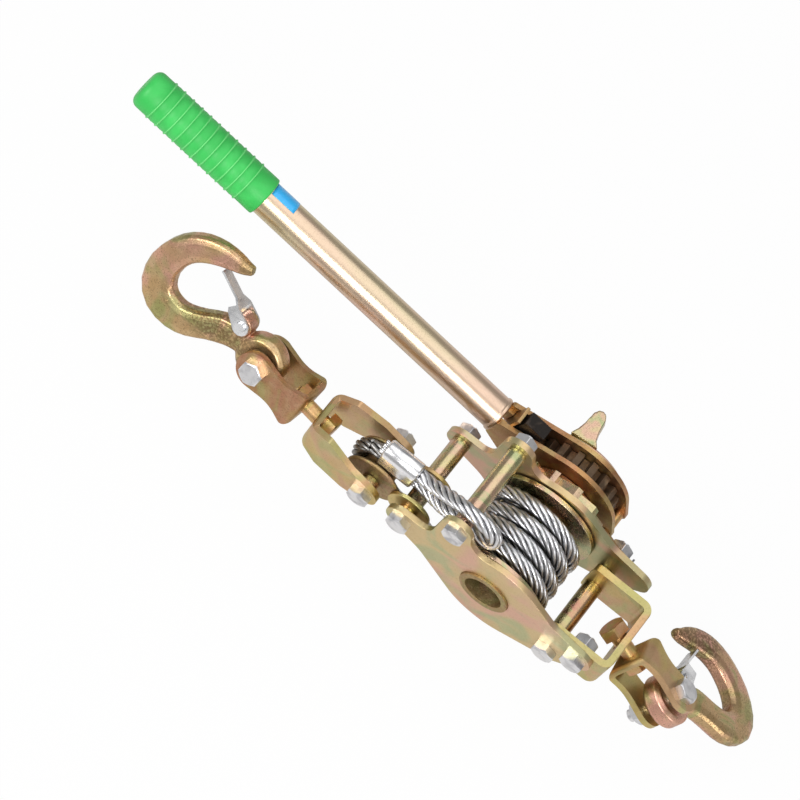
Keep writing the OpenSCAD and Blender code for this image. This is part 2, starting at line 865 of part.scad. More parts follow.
// rocking pawl on the pawl bolt, stored turned clear of the holding ratchet
module holding_pawl() {
    root_gap = 1.3;
    nose_x = hold_d / 2 - hold_depth + root_gap - pawl_bolt_x;
    color("goldenrod")
        translate([pawl_bolt_x, 0, pawl_bolt_z])
            rotate([0, hold_pawl_rest, 0])
                difference() {
                    slab(outer_y + side_gap, outer_y + side_gap + hold_pawl_w)
                        polygon(concat(
                            [[nose_x, 12.6], [nose_x + 0.6, 9.6], [-12, 2], [-9.5, -3]],
                            [for (a = [200 : 15 : 290]) 9.5 * [cos(a), sin(a)]],
                            [[10, -10], [17, -15], [19, -12], [12, -3]],
                            [for (a = [0 : 15 : 90]) 9.5 * [cos(a), sin(a)]],
                            [[-6, 10.5], [-14, 13.5]]
                        ));
                    rod([0, 0], bolt_r + run_gap, outer_y - 1, outer_y + hold_pawl_w + 2);
                }
}

// straight wire leg that stands out of the far plate beside the holding pawl
module holding_pawl_spring() {
    y0 = outer_y + hold_pawl_w + 3.2;
    color("silver")
        sweep([
            [pawl_bolt_x + 9.6, outer_y + 0.8, pawl_bolt_z + 4], [pawl_bolt_x + 9.6, y0, pawl_bolt_z + 4]
        ], 0.7, 6);
}

// ---------- rope block ----------

// plan of the block strap's faces: parallel at the bolt, drawn together towards the
// closed end, which is at x = 0
function strap_plan(r, len) = [
    [[-len, far_knee[1] - block_w / 2], r], [[-far_knee[0], far_knee[1] - block_w / 2], r],
    [[-near_knee[0], near_knee[1] - block_w / 2], r], [[-strap_bend_r, -strap_bend_y], r],
    [[-strap_bend_r, strap_bend_y], r], [[-near_knee[0], block_w / 2 - near_knee[1]], r],
    [[-far_knee[0], block_w / 2 - far_knee[1]], r], [[-len, block_w / 2 - far_knee[1]], r]
];

module block_strap() {
    high = block_h / 2 + strap_rise;
    low = strap_rise - block_h / 2;
    end_x = block_x - block_len;
    color("goldenrod")
        difference() {
            intersection() {
                translate([end_x, block_y, -block_h])
                    linear_extrude(height = 2 * block_h)
                        mirror([1, 0, 0])
                            difference() {
                                polygon(belt(strap_plan(strap_bend_r, block_len + 30)));
                                polygon(belt(strap_plan(strap_bend_r - block_t, block_len + 40)));
                            }
                slab(block_y - block_w, block_y + block_w)
                    polygon(belt([
                        [[block_x, 0], strap_lobe_r],
                        [[end_x + strap_cut[0], high - strap_corner_r], strap_corner_r],
                        [[end_x + strap_corner_r, high - strap_cut[1]], strap_corner_r],
                        [[end_x + strap_corner_r, low + strap_cut[1]], strap_corner_r],
                        [[end_x + strap_cut[0], low + strap_corner_r], strap_corner_r]
                    ]));
            }
            rod([block_x, 0], bolt_hole_r, block_y - block_w, block_y + block_w);
            translate([end_x - 2, block_y, 0])
                rotate([0, 90, 0])
                    cylinder(r = swivel_d / 2 + 0.8, h = block_t + 4);
        }
}

block_y0 = block_y - block_w / 2;
block_y1 = block_y + block_w / 2;

module sheave_bolt() {
    color("silver")
        along_y([block_x, 0], block_y0)
            hex_bolt(block_w + nut_h + bolt_tail);
}

module sheave_nut() {
    color("silver")
        along_y([block_x, 0], block_y1)
            hex_nut();
}

module sheave_spacers() {
    half = sheave_w / 2 + side_gap;
    color("darkkhaki") {
        tube([block_x, 0], spacer_d / 2, bolt_hole_r, block_y0 + block_t, block_y - half);
        tube([block_x, 0], spacer_d / 2, bolt_hole_r, block_y + half, block_y1 - block_t);
    }
}

// grooved wheel that the rope runs round
module sheave() {
    half = sheave_w / 2;
    wall = half - 2;
    lip = sheave_d / 2;
    color("darkgoldenrod")
        translate([block_x, block_y, 0])
            rotate([90, 0, 0])
                rotate_extrude($fn = 72)
                    polygon(concat(
                        [[bolt_r + run_gap, -half], [lip - 1, -half], [lip, 1 - half], [lip, -wall]],
                        [for (a = [-60 : 15 : 60])
                            [groove_r + rope_r + 0.1 - (rope_r + 0.1) * cos(a), (rope_r + 0.1) * sin(a)]],
                        [[lip, wall], [lip, half - 1], [lip - 1, half], [bolt_r + run_gap, half]]
                    ));
}

// ---------- rope ----------

// swaged oval sleeve with pressed ends
module ferrule() {
    mid_z = (live_z + dead_z) / 2;
    half = (dead_z - live_z) / 2;
    color("gainsboro")
        for (part = [[0, 1, 0.8], [0.8, ferrule_len - 0.8, 0], [ferrule_len - 1, ferrule_len, 0.8]])
            translate([ferrule_x0 + part[0], block_y, mid_z])
                rotate([0, 90, 0])
                    linear_extrude(height = part[1] - part[0])
                        polygon(belt([
                            [[-half, 0], ferrule_w / 2 - part[2]], [[half, 0], ferrule_w / 2 - part[2]]
                        ]));
}

// both ends run straight to the ferrule's mouth
module rope_eye() {
    mouth = ferrule_x1 + 0.3;
    color("silver")
        sweep(
            concat([[mouth, block_y, dead_z]], smooth(eye_route, 2), [[mouth, block_y, live_z]]),
            rope_r, 8
        );
}

module rope_top_leg() {
    color("silver")
        sweep(top_route, rope_r, 8);
}

module rope_bend() {
    color("silver")
        sweep(bend_route, rope_r, 8, [0, 1, 0]);
}

module rope_live_leg() {
    color("silver")
        sweep(smooth(live_route, 2), rope_r, 8);
}

// ---------- swivel, clevis and hook, drawn outwards along -X from the clevis's closed end ----------

module rope_side() {
    translate(rope_clevis_at)
        rotate([0, 0, rope_lean])
            rotate([rope_turn, 0, 0])
                children();
}

// the anchor side is the same set turned end for end
module anchor_side() {
    translate(anchor_clevis_at)
        rotate([0, 0, anchor_lean])
            rotate([0, anchor_drop, 0])
                rotate([anchor_turn, 0, 0])
                    rotate([0, 0, 180])
                        children();
}

clevis_bend = 6;
clevis_end_r = 12;

module clevis_shape() {
    difference() {
        intersection() {
            translate([0, 0, -clevis_h])
                linear_extrude(height = 2 * clevis_h)
                    u_plan(clevis_len + 30, clevis_w, clevis_t, clevis_bend);
            slab(-clevis_w, clevis_w)
                polygon(belt([
                    [[-4, -clevis_h / 2 + 4], 4],
                    [[-4, clevis_h / 2 - 4], 4],
                    [[-19, 26 + 9.5], -26],
                    [[-clevis_len, 0], clevis_end_r],
                    [[-19, -26 - 9.5], -26]
                ]));
        }
        rod([-clevis_len, 0], bolt_hole_r, -clevis_w, clevis_w);
        translate([-clevis_t - 2, 0, 0])
            rotate([0, 90, 0])
                cylinder(r = swivel_d / 2 + run_gap, h = clevis_t + 4);
    }
}

// headed bolt through the strap and the clevis
module swivel_bolt_shape() {
    translate([swivel_reach, 0, 0])
        rotate([0, -90, 0])
            hex_bolt(swivel_reach + clevis_t + nut_h + 1, swivel_d, swivel_af, swivel_head_h);
}

module swivel_nut_shape() {
    translate([-clevis_t, 0, 0])
        rotate([0, -90, 0])
            hex_nut(swivel_d, swivel_af, nut_h);
}

module hook_bolt_shape() {
    along_y([-clevis_len, 0], -clevis_w / 2)
        hex_bolt(clevis_w + nut_h + 4);
}

module hook_nut_shape() {
    along_y([-clevis_len, 0], clevis_w / 2)
        hex_nut();
}

// forged hook in its own plane: eye at the bolt, u outwards along -X, v along Z
module at_hook(fold) {
    translate([-clevis_len, 0, 0])
        rotate([0, fold, 0])
            children();
}

hook_points = smooth([for (p = hook_line) [-p[0], 0, p[1]]], 2);
hook_sizes = smooth([for (i = [0 : len(hook_line) - 1]) [hook_width[i], hook_thick[i], 0]], 2);

// turns a circle's cosine or sine into that of a rounded square
function squarish(c) = sign(c) * pow(abs(c), 0.65);

module hook_shape() {
    difference() {
        union() {
            skin([
                for (i = [0 : len(hook_points) - 1])
                    let (n = cross([0, 1, 0], heading(hook_points, i)), s = hook_sizes[i] / 2)
                    [for (k = [0 : 11]) let (a = 30 * k + 15)
                        hook_points[i] + s[0] * squarish(cos(a)) * n
                            + s[1] * squarish(sin(a)) * [0, 1, 0]]
            ]);
            rod([-latch_at[0], latch_at[1]], 6.5, -lug_half, lug_half);
            translate([-eye_shift, 0, 0])
                rotate([90, 0, 0])
                    rotate_extrude()
                        polygon([
                            [eye_hole_d / 2, 1.5 - hook_t / 2], [eye_hole_d / 2 + 1.5, -hook_t / 2],
                            [eye_d / 2 - 2.5, -hook_t / 2], [eye_d / 2, 2.5 - hook_t / 2],
                            [eye_d / 2, hook_t / 2 - 2.5], [eye_d / 2 - 2.5, hook_t / 2],
                            [eye_hole_d / 2 + 1.5, hook_t / 2], [eye_hole_d / 2, hook_t / 2 - 1.5]
                        ]);
        }
        rod([-latch_at[0], latch_at[1]], rivet_d / 2 + run_gap, -hook_t, hook_t);
    }
}

latch_cheek = lug_half + side_gap;

module latch_rivet_shape() {
    at = [-latch_at[0], latch_at[1]];
    rod(at, rivet_d / 2, -latch_cheek - latch_t - 0.4, latch_cheek + latch_t + 0.4);
    rod(at, rivet_d / 2 + 1.5, -latch_cheek - latch_t - 1.4, -latch_cheek - latch_t - 0.1);
    rod(at, rivet_d / 2 + 1.5, latch_cheek + latch_t + 0.1, latch_cheek + latch_t + 1.4);
}

// height of the latch's back above its axis, at a distance from its rivet
latch_slope = asin((latch_eye_r - latch_tip_r) / latch_len);
function latch_back(x) = (latch_eye_r - x * sin(latch_slope)) / cos(latch_slope);

// folded sheet gate: two cheeks at the rivet and a tongue along its back
module latch_shape() {
    outside = latch_cheek + latch_t;
    tongue = 3.6;
    open_to = 10;
    far = latch_len + 2;
    translate([-latch_at[0], 0, latch_at[1]])
        rotate([0, latch_dir, 0])
            difference() {
                intersection() {
                    slab(-outside - 1, outside + 1)
                        polygon(belt([[[0, 0], latch_eye_r], [[-latch_len, 0], latch_tip_r]]));
                    translate([0, 0, -10])
                        linear_extrude(height = 20)
                            polygon([
                                [8, -outside], [8, outside], [-11, outside], [-17, tongue],
                                [-far, tongue], [-far, -tongue], [-17, -tongue], [-11, -outside]
                            ]);
                }
                slab(-latch_cheek, latch_cheek)
                    polygon([
                        [9, -9], [9, 9], [-open_to, 9], [-open_to, latch_back(open_to) - latch_t],
                        [-far, latch_back(far) - latch_t], [-far, -9]
                    ]);
                rod([0, 0], rivet_d / 2 + run_gap, -hook_t, hook_t);
            }
}

module rope_swivel_bolt() {
    color("goldenrod")
        rope_side()
            swivel_bolt_shape();
}

module rope_swivel_nut() {
    color("goldenrod")
        rope_side()
            swivel_nut_shape();
}

module rope_clevis() {
    color("goldenrod")
        rope_side()
            clevis_shape();
}

module rope_hook_bolt() {
    color("silver")
        rope_side()
            hook_bolt_shape();
}

module rope_hook_nut() {
    color("silver")
        rope_side()
            hook_nut_shape();
}

module rope_hook() {
    color("goldenrod")
        rope_side()
            at_hook(rope_hook_fold)
                hook_shape();
}

module rope_latch_rivet() {
    color("silver")
        rope_side()
            at_hook(rope_hook_fold)
                latch_rivet_shape();
}

module rope_latch() {
    color("silver")
        rope_side()
            at_hook(rope_hook_fold)
                latch_shape();
}

module anchor_swivel_bolt() {
    color("goldenrod")
        anchor_side()
            swivel_bolt_shape();
}

module anchor_swivel_nut() {
    color("goldenrod")
        anchor_side()
            swivel_nut_shape();
}

module anchor_clevis() {
    color("goldenrod")
        anchor_side()
            clevis_shape();
}

module anchor_hook_bolt() {
    color("silver")
        anchor_side()
            mirror([0, 1, 0])
                hook_bolt_shape();
}

module anchor_hook_nut() {
    color("silver")
        anchor_side()
            mirror([0, 1, 0])
                hook_nut_shape();
}

module anchor_hook() {
    color("goldenrod")
        anchor_side()
            at_hook(anchor_hook_fold)
                hook_shape();
}

module anchor_latch_rivet() {
    color("silver")
        anchor_side()
            at_hook(anchor_hook_fold)
                latch_rivet_shape();
}

module anchor_latch() {
    color("silver")
        anchor_side()
            at_hook(anchor_hook_fold)
                latch_shape();
}

near_plate();
far_plate();
upper_spacer_tube();
lower_spacer_tube();
guide_spacers();
near_guide_ear();
far_guide_ear();
pawl_spacer_tube();
bracket_spacer();
anchor_bracket();
frame_bolts();
bracket_bolt();
frame_nuts();
holding_pawl_spring();
rope_eye();
ferrule();
drum_axle();
near_drum_flange();
far_drum_flange();
rope_core();
rope_winding();
holding_ratchet();
thrust_washer();
drive_ratchet();
hand_disc();
finger_lug();
inner_yoke_plate();
outer_yoke_plate();
yoke_end_pin();
handle_tube();
grip();
pawl_guide_pin();
pawl_stop_plate();
drive_pawl();
holding_pawl();
block_strap();
sheave_bolt();
sheave_nut();
sheave_spacers();
rope_bend();
sheave();
rope_top_leg();
rope_live_leg();
rope_swivel_bolt();
rope_swivel_nut();
rope_clevis();
rope_hook_bolt();
rope_hook_nut();
rope_hook();
rope_latch_rivet();
rope_latch();
anchor_swivel_bolt();
anchor_swivel_nut();
anchor_clevis();
anchor_hook_bolt();
anchor_hook_nut();
anchor_hook();
anchor_latch_rivet();
anchor_latch();
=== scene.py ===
"""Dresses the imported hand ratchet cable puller: camera, wire rope, forgings, grip and finishes.

Lengths are in millimetres and go to metres with MM, but the camera and the room are in metres.
"""

import json
import math

import bpy
import numpy as np
from mathutils import Matrix, Vector

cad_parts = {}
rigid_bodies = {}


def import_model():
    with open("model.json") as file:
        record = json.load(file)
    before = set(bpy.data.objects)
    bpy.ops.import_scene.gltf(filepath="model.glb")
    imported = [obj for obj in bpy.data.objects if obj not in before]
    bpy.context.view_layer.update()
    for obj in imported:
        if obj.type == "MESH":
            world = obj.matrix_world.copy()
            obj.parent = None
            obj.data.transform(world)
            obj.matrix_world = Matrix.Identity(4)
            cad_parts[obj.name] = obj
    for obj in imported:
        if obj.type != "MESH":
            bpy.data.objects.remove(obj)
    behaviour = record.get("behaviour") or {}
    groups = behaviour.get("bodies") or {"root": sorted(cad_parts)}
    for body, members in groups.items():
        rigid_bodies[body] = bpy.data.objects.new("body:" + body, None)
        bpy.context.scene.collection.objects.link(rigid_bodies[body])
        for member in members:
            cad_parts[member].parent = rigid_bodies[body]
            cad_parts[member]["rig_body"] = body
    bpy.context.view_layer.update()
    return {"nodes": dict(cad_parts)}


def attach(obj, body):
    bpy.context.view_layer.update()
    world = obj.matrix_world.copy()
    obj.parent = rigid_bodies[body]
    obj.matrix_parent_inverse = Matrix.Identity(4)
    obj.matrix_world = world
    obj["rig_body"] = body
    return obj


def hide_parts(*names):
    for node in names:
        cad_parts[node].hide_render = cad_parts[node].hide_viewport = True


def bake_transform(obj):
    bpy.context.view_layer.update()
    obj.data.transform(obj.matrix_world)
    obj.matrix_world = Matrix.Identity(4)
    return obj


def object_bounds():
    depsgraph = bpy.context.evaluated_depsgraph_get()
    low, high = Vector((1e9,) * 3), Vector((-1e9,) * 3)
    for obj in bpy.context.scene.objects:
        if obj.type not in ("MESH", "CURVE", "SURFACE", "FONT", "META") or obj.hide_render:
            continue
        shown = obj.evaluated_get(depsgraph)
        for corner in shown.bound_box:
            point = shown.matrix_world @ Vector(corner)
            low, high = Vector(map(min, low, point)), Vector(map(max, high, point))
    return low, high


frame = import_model()
cad = frame["nodes"]

MM = 0.001


def put(name, data):
    """A new object of that data, in the scene."""
    thing = bpy.data.objects.new(name, data)
    bpy.context.scene.collection.objects.link(thing)
    return thing


# ---------- camera ----------

TARGET = Vector((-0.1094, 0.0188, 0.0225))
TO_CAMERA = Vector((0.0, -0.395, 0.919)).normalized()
PICTURE_RIGHT = Vector((0.779, 0.576, 0.248)).normalized()
PICTURE_UP = TO_CAMERA.cross(PICTURE_RIGHT).normalized()
LENS, SENSOR = 200, 36
VIEW_WIDTH = 0.472
NEAREST, FURTHEST = 0.05, 20


def aim(thing, place, back):
    """Stands a camera or lamp at a place, with its back turned that way."""
    up = back.cross(PICTURE_RIGHT).normalized()
    side = up.cross(back).normalized()
    thing.location = place
    thing.rotation_mode = "QUATERNION"
    thing.rotation_quaternion = Matrix((side, up, back)).transposed().to_quaternion()


def make_camera():
    data = bpy.data.cameras.new("camera")
    data.lens, data.sensor_width = LENS, SENSOR
    data.clip_start, data.clip_end = NEAREST, FURTHEST
    camera = put("camera", data)
    aim(camera, TARGET + TO_CAMERA * (VIEW_WIDTH * LENS / SENSOR), TO_CAMERA)
    bpy.context.scene.camera = camera


make_camera()

# ---------- finishes ----------


class Signal:
    """A node's output that takes part in sums."""

    def __init__(self, nodes, socket):
        self.nodes, self.socket = nodes, socket

    def _with(self, operation, other, swapped=False):
        first, second = (other, self) if swapped else (self, other)
        return self.nodes.add("Math", {"operation": operation}, {0: first, 1: second})

    def __add__(self, other):
        return self._with("ADD", other)

    def __sub__(self, other):
        return self._with("SUBTRACT", other)

    def __rsub__(self, other):
        return self._with("SUBTRACT", other, swapped=True)

    def __mul__(self, other):
        return self._with("MULTIPLY", other)

    __radd__, __rmul__ = __add__, __mul__


class Nodes:
    """The shader nodes of a material or of the world."""

    def __init__(self, owner):
        owner.use_nodes = True
        self.tree = owner.node_tree
        self.tree.nodes.clear()

    def add(self, kind, settings=None, sockets=None, out=0):
        """Adds a node with its settings, then the values or links of its sockets."""
        node = self.tree.nodes.new("ShaderNode" + kind)
        for key, value in (settings or {}).items():
            setattr(node, key, value)
        for key, value in (sockets or {}).items():
            socket = node.inputs[key]
            if isinstance(value, Signal):
                self.tree.links.new(value.socket, socket)
            elif isinstance(value, tuple) and socket.type == "RGBA":
                socket.default_value = (*value, 1)
            else:
                socket.default_value = value
        return Signal(self, node.outputs[out]) if node.outputs else None


class Finish(Nodes):
    """A material made of nodes round one shader."""

    def __init__(self, name, kind="BsdfPrincipled", **fixed):
        self.material = bpy.data.materials.new(name)
        super().__init__(self.material)
        values = {key.replace("_", " "): value for key, value in fixed.items()}
        shaded = self.add(kind, sockets=values)
        self.shader = shaded.socket.node
        self.add("OutputMaterial", sockets={"Surface": shaded})

    def feed(self, socket, signal):
        self.tree.links.new(signal.socket, self.shader.inputs[socket])

    def place(self, stretch=(1, 1, 1), shift=(0, 0, 0)):
        """Place on the piece, in metres, stretched along its axes."""
        at = self.add("TexCoord", out="Object")
        return self.add("Mapping", sockets={"Vector": at, "Scale": stretch, "Location": shift})

    def cloud(self, scale, detail=2.0, warp=0.0, **placed):
        """Cloudy noise from 0 to 1, with about that many clouds to a metre."""
        sockets = {
            "Vector": self.place(**placed), "Scale": scale, "Detail": detail, "Distortion": warp
        }
        return self.add("TexNoise", sockets=sockets)

    def band(self, signal, low, high, top=1.0):
        """0 to top as the signal goes from low to high, eased at both ends."""
        return self.add(
            "MapRange",
            {"interpolation_type": "SMOOTHSTEP"},
            {"Value": signal, "From Min": low, "From Max": high, "To Max": top},
        )

    def blend(self, mask, first, second):
        """Colour that goes from first to second with the mask."""
        return self.add("Mix", {"data_type": "RGBA"}, {0: mask, 6: first, 7: second}, out=2)

    def relief(self, height, depth):
        """Raises the surface by height times depth."""
        sockets = {"Height": height, "Strength": 1.0, "Distance": depth * MM}
        self.feed("Normal", self.add("Bump", sockets=sockets))


GOLD = (0.62, 0.47, 0.23)
PINK = (0.64, 0.40, 0.31)
GREEN = (0.46, 0.48, 0.22)
PALE = (0.80, 0.68, 0.42)
BROWN = (0.20, 0.12, 0.06)
SCRATCH = (0.25, 0.25, 0.27)


def passivated(
    name, base=GOLD, blush=PINK, tinge=GREEN, clouds=34, speck=0.25, grain=0.02, gloss=0.3,
    stretch=(1, 1, 1), mottle=0.0,
):
    """Yellow passivated zinc: a base colour with pink and green clouds, dark specks and grain."""
    f = Finish(name, Metallic=1.0)
    pinkish = f.cloud(clouds, detail=2.5, warp=0.9, stretch=stretch)
    blushing = f.band(pinkish, 0.42, 0.6)
    greenish = f.cloud(clouds * 1.4, warp=1.2, stretch=stretch, shift=(3.1, 0.7, 1.9))
    tinged = f.band(greenish, 0.46, 0.64)
    patchy = f.cloud(clouds * 5, detail=3.0, warp=0.4, stretch=stretch, shift=(0.4, 2.2, 5.1))
    specks = f.band(f.cloud(1150), 0.5, 0.72)
    colour = f.blend(blushing * 0.85, base, blush)
    colour = f.blend(tinged * 0.8, colour, tinge)
    colour = f.blend(f.band(patchy, 0.35, 0.75, top=0.2), colour, PALE)
    colour = f.blend(specks * speck, colour, BROWN)
    if mottle:
        flecks = f.band(f.cloud(620, warp=0.3), 0.36, 0.58)
        dark_part = f.band(f.cloud(17, detail=1.5, shift=(0.2, 1.4, 0.6)), 0.38, 0.56)
        colour = f.blend(flecks * dark_part * mottle, colour, BROWN)
    f.feed("Base Color", colour)
    f.feed("Roughness", gloss + patchy * 0.16 + specks * 0.12)
    f.relief(specks * -1.0 + f.cloud(420) * 0.6, grain)
    return f.material


def bright_steel(name, base, shade=(0.50, 0.51, 0.54), gloss=0.24):
    """Bright zinc plate: clear silver with cloudy grey and fine scratches."""
    f = Finish(name, Metallic=1.0)
    cloudy = f.cloud(120, detail=3.0, warp=0.5)
    scratch = f.cloud(700, warp=0.2, stretch=(1, 0.12, 1))
    colour = f.blend(f.band(cloudy, 0.4, 0.75, top=0.7), base, shade)
    f.feed("Base Color", f.blend(f.band(scratch, 0.62, 0.8, top=0.35), colour, SCRATCH))
    f.feed("Roughness", gloss + cloudy * 0.14)
    f.relief(scratch, 0.015)
    return f.material


def wire_finish(name, crest, hollow_shade, gloss):
    """Galvanised wire: bright on the crests, with painted shade in the dark hollows between the
    strands.
    """
    f = Finish(name, Metallic=1.0)
    height = f.add("Attribute", {"attribute_name": "height"}, out="Fac")
    worn = f.cloud(210, warp=0.3)
    # Painted shade: the lower a point lies between strands and wires, the darker its colour.
    shade = f.band(height + (worn - 0.5) * 0.35, 0.42, 0.9)
    f.feed("Base Color", f.blend(shade, hollow_shade, crest))
    f.feed("Roughness", gloss + worn * 0.18)
    f.relief(f.cloud(1600, detail=1.0), 0.02)
    return f.material


def black_oxide(name, base, edge):
    """Black oxide on steel, worn to a paler brown in patches."""
    f = Finish(name, Metallic=0.75)
    worn = f.band(f.cloud(160, detail=3.0, warp=0.6), 0.5, 0.75)
    specks = f.cloud(900)
    f.feed("Base Color", f.blend(worn * 0.7, base, edge))
    f.feed("Roughness", 0.34 + specks * 0.3)
    f.relief(specks, 0.05)
    return f.material


def rubber(name, base, pale, rubbed_and_highlight):
    """Moulded rubber, paler along its ridges: partly wear, partly a painted highlight on the rib
    tops.
    """
    f = Finish(name, Specular_IOR_Level=0.45)
    cloudy = f.cloud(70, warp=0.3)
    pores = f.cloud(1300)
    ridge = f.add("Attribute", {"attribute_name": "ridge"}, out="Fac")
    colour = f.blend(f.band(cloudy, 0.35, 0.7), base, pale)
    # Paler colour along the ridges: a painted highlight on the rib tops, partly also wear.
    f.feed("Base Color", f.blend(f.band(ridge, 0.1, 0.9, top=0.75), colour, rubbed_and_highlight))
    f.feed("Roughness", 0.36 + pores * 0.2)
    f.relief(pores, 0.05)
    return f.material


def aluminium(name, base, shade):
    """Soft aluminium with drawn lines along it and cloudy grey patches."""
    f = Finish(name, Metallic=1.0)
    drawn = f.cloud(900, warp=0.1, stretch=(0.05, 1, 1))
    cloudy = f.cloud(140, warp=0.6)
    f.feed("Base Color", f.blend(f.band(cloudy, 0.45, 0.8), base, shade))
    f.feed("Roughness", 0.16 + drawn * 0.2)
    f.relief(drawn, 0.03)
    return f.material


def film(name, base, faded):
    """Glossy plastic film without words, a little faded in patches."""
    f = Finish(name, Coat_Weight=0.5)
    worn = f.cloud(500, detail=3.0, warp=0.2)
    f.feed("Base Color", f.blend(f.band(worn, 0.5, 0.8, top=0.5), base, faded))
    f.feed("Roughness", 0.25 + worn * 0.2)
    return f.material


PLATE = passivated(
    "plate_zinc", base=(0.66, 0.50, 0.26), blush=(0.72, 0.42, 0.33), tinge=(0.44, 0.48, 0.26),
    clouds=20, speck=0.1,
)
STRAP = passivated(
    "strap_zinc", base=(0.60, 0.45, 0.17), blush=(0.60, 0.36, 0.21), tinge=(0.46, 0.45, 0.18),
    clouds=22, speck=0.15,
)
CLEVIS = passivated(
    "clevis_zinc", base=(0.46, 0.29, 0.13), blush=(0.52, 0.25, 0.16), tinge=(0.44, 0.37, 0.15),
    clouds=36, speck=0.35,
)
FORGED = passivated(
    "forged_zinc", base=(0.60, 0.40, 0.20), blush=(0.76, 0.40, 0.32), tinge=(0.38, 0.40, 0.15),
    clouds=26, speck=0.6, grain=0.06, gloss=0.26, mottle=0.75,
)
COPPERY = passivated(
    "coppery_zinc", base=(0.66, 0.40, 0.18), blush=(0.70, 0.38, 0.22), tinge=(0.58, 0.48, 0.16),
    clouds=60, speck=0.2,
)
TURNED = passivated(
    "turned_zinc", base=(0.58, 0.50, 0.27), tinge=(0.36, 0.44, 0.22),
    clouds=46, speck=0.1, gloss=0.16,
)
YOKE = passivated(
    "yoke_zinc", base=(0.50, 0.29, 0.12), blush=(0.50, 0.23, 0.12), tinge=(0.52, 0.38, 0.15),
    speck=0.3,
)
ROUGH = passivated(
    "rough_zinc", base=(0.36, 0.25, 0.11), blush=(0.40, 0.24, 0.14), tinge=(0.34, 0.30, 0.12),
    clouds=60, speck=0.7, grain=0.12, gloss=0.42,
)
TUBE = passivated(
    "tube_zinc", base=(0.76, 0.57, 0.43), blush=(0.78, 0.53, 0.43), tinge=(0.70, 0.62, 0.40),
    clouds=14, speck=0.06, grain=0.008, gloss=0.22, stretch=(0.35, 1, 1),
)
MIRRORED = passivated(
    "coppery_tube", base=(0.52, 0.34, 0.20), blush=(0.50, 0.24, 0.18), tinge=(0.44, 0.44, 0.20),
    clouds=40, speck=0.1, grain=0.01, gloss=0.14,
)
SILVER = bright_steel("bright_zinc", base=(0.80, 0.80, 0.82), shade=(0.30, 0.30, 0.33))
SHEET = bright_steel("latch_zinc", base=(0.88, 0.89, 0.91), gloss=0.2)
# The dark colour in the hollows between strands is painted shade.
WIRE = wire_finish("wire", crest=(0.72, 0.72, 0.74), hollow_shade=(0.05, 0.05, 0.05), gloss=0.22)
# A darker copy of the wire finish, as painted shade for rope that lies in shadow: the layer under
# the outer turns, the bend round the sheave and its top leg.
SHADED_WIRE = wire_finish("shaded_wire", crest=(0.36, 0.35, 0.34), hollow_shade=(0.02, 0.02, 0.02), gloss=0.3)
SLEEVE = aluminium("ferrule_aluminium", base=(0.88, 0.88, 0.90), shade=(0.55, 0.56, 0.58))
DARK = black_oxide("black_oxide", base=(0.022, 0.018, 0.016), edge=(0.09, 0.065, 0.05))
TEETH = black_oxide("worn_oxide", base=(0.12, 0.08, 0.05), edge=(0.36, 0.26, 0.16))
# The paler ridge colour is partly wear and partly a painted highlight on the rib tops.
GREEN_RUBBER = rubber(
    "green_rubber", base=(0.03, 0.43, 0.075), pale=(0.045, 0.52, 0.10), rubbed_and_highlight=(0.20, 0.72, 0.24)
)
LABEL = film("label_film", base=(0.02, 0.40, 0.82), faded=(0.08, 0.50, 0.88))

NODE_FINISH = {
    "near_plate": PLATE, "far_plate": PLATE, "near_guide_ear": STRAP, "far_guide_ear": STRAP,
    "upper_spacer_tube": TURNED, "lower_spacer_tube": TURNED, "guide_spacers": TURNED,
    "pawl_spacer_tube": MIRRORED, "bracket_spacer": TURNED, "anchor_bracket": STRAP,
    "frame_bolts": SILVER, "bracket_bolt": SILVER, "frame_nuts": SILVER,
    "drum_axle": ROUGH, "near_drum_flange": TURNED, "far_drum_flange": TURNED,
    "holding_ratchet": TURNED, "thrust_washer": CLEVIS,
    "drive_ratchet": TEETH, "hand_disc": PLATE,
    "inner_yoke_plate": YOKE, "outer_yoke_plate": YOKE, "yoke_end_pin": COPPERY,
    "handle_tube": TUBE, "pawl_guide_pin": SILVER, "pawl_stop_plate": CLEVIS,
    "drive_pawl": DARK, "holding_pawl": CLEVIS, "block_strap": STRAP, "sheave_bolt": SILVER,
    "sheave_nut": SILVER, "sheave_spacers": TURNED, "sheave": ROUGH,
    "rope_swivel_bolt": COPPERY, "rope_swivel_nut": COPPERY, "rope_clevis": CLEVIS,
    "rope_hook_bolt": SILVER, "rope_hook_nut": SILVER,
    "rope_latch_rivet": SHEET, "rope_latch": SHEET,
    "anchor_swivel_bolt": COPPERY, "anchor_swivel_nut": COPPERY, "anchor_clevis": STRAP,
    "anchor_hook_bolt": SILVER, "anchor_hook_nut": SILVER,
    "anchor_latch_rivet": SHEET, "anchor_latch": SHEET,
}

# Width of the broken edges, and the turn between two faces from which an edge is broken.
EDGE_BREAK = 0.35
SHARP_EDGE = math.radians(32)


def weld(piece):
    """Joins the points that a solid's faces share."""
    piece.modifiers.new("weld", "WELD").merge_threshold = 1e-6


def dress_solid(node, finish):
    """Gives a CAD solid its finish and breaks its sharp edges."""
    piece = cad[node]
    piece.data.materials.clear()
    piece.data.materials.append(finish)
    weld(piece)
    edges = piece.modifiers.new("broken_edges", "BEVEL")
    edges.width, edges.segments = EDGE_BREAK * MM, 2
    edges.limit_method, edges.angle_limit = "ANGLE", SHARP_EDGE
    normals = piece.modifiers.new("even_normals", "WEIGHTED_NORMAL")
    normals.keep_sharp = False


for node, finish in NODE_FINISH.items():
    dress_solid(node, finish)

# ---------- meshes ----------


